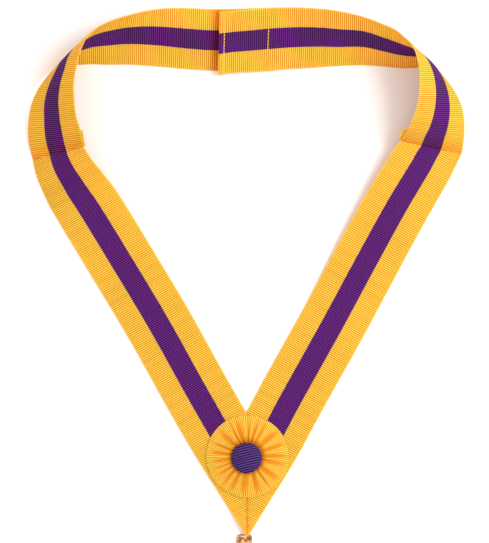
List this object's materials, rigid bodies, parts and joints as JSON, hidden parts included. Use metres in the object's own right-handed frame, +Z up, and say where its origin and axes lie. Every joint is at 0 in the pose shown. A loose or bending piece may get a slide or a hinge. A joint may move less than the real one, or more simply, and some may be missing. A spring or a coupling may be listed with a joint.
{
  "type": "masonic collarette",
  "caption": "Ribbon collarette lying open: striped neck band on edge, pointed V front, gathered rosette with a covered button, and a gilt hook at the point.",
  "frame": {"origin": "on the table, under the middle of the whole as it lies", "axes": "+Y from the point of the V towards the back of the neck, +Z up from the table, +X to the picture's right"},
  "size_m": [0.251, 0.3272, 0.0366],
  "materials": {
    "ribbon": "ribbed grosgrain, golden yellow with a violet middle stripe",
    "rosette": "ribbed grosgrain drawn up into gathers",
    "button": "ribbed violet grosgrain over a button",
    "gilt": "gilt, slightly brown"
  },
  "bodies": {
    "root": {"front_ribbon_left": "ribbon", "front_ribbon_right": "ribbon", "neck_ribbon_left": "ribbon", "neck_ribbon_right": "ribbon", "seam_allowance_left": "ribbon", "seam_allowance_right": "ribbon", "rosette": "rosette", "rosette_button": "button", "jewel_hook": "gilt"}
  },
  "joints": []
}
